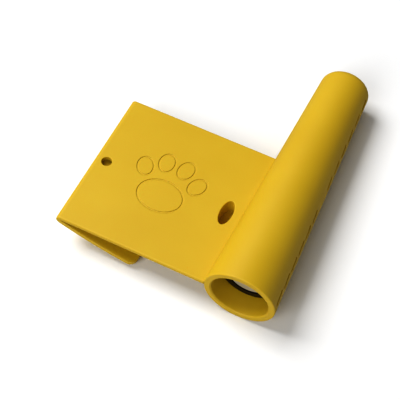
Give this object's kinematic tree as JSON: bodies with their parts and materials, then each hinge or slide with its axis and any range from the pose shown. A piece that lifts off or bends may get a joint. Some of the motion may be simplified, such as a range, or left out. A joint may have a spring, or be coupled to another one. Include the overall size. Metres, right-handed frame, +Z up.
{
  "type": "microchip scanner",
  "caption": "Tapered tube holding a sliding round reader wand with an end button, on a flat plate whose folded spring leaf clips to a belt.",
  "frame": {"origin": "middle of the footprint, on the surface the part rests on", "axes": "+Z up, +Y along the tube from its open mouth to its closed end, -X towards the plate"},
  "size_m": [0.108, 0.1352, 0.0339],
  "materials": {
    "yellow_plastic": "fine satin moulding",
    "black_plastic": "satin",
    "grey_plastic": "matte",
    "button_grey": "satin, lets light through",
    "black_rubber": "matte",
    "cell_sleeve": "shrunk film",
    "spring_steel": "nickel plated",
    "circuit_board": "solder mask",
    "chip_black": "moulded epoxy",
    "shield_metal": "tinned sheet",
    "ferrite": "ground",
    "copper_wire": "enamelled",
    "led_lens": "clear"
  },
  "bodies": {
    "carrier": {"tube_sleeve": "yellow_plastic", "clip_plate": "yellow_plastic"},
    "leaf": {"clip_leaf": "yellow_plastic"},
    "wand": {"wand_housing": "black_plastic", "nose_pad": "black_plastic", "slide_rings": "black_rubber", "chassis": "grey_plastic", "battery": "cell_sleeve", "battery_contact": "spring_steel", "reader_board": "circuit_board", "board_chips": "chip_black", "board_screws": "spring_steel", "radio_module": "shield_metal", "buzzer": "chip_black", "ferrite_rod": "ferrite", "coil_bobbin": "grey_plastic", "antenna_coil": "copper_wire"},
    "cap": {"tail_cap": "black_plastic", "cap_seal": "black_rubber", "button_retainer": "black_plastic", "switch_board": "circuit_board", "tact_switch": "chip_black", "status_leds": "led_lens", "stem_seal": "black_rubber", "cell_spring": "spring_steel", "button_spring": "spring_steel"},
    "button": {"power_button": "button_grey"}
  },
  "joints": [
    {"name": "clip_flex", "type": "hinge", "parent": "carrier", "child": "leaf", "pos_m": [-0.05404, -0.02928, 0.0146], "axis": [0, 0.9994, -0.0334], "range_deg": [0, 8], "stiffness_Nm_per_rad": 4},
    {"name": "wand_slide", "type": "slide", "parent": "carrier", "child": "wand", "axis": [0, -0.9994, 0.0334], "range_m": [0, 0.12]},
    {"name": "cap_turn", "type": "hinge", "parent": "wand", "child": "cap", "pos_m": [0.03706, -0.04709, 0.01632], "axis": [0, -0.9994, 0.0334], "range_deg": [0, 60]},
    {"name": "button_press", "type": "slide", "parent": "cap", "child": "button", "axis": [0, 0.9994, -0.0334], "range_m": [0, 0.0012], "stiffness_N_per_m": 1500, "deforming": ["button_spring"]}
  ]
}
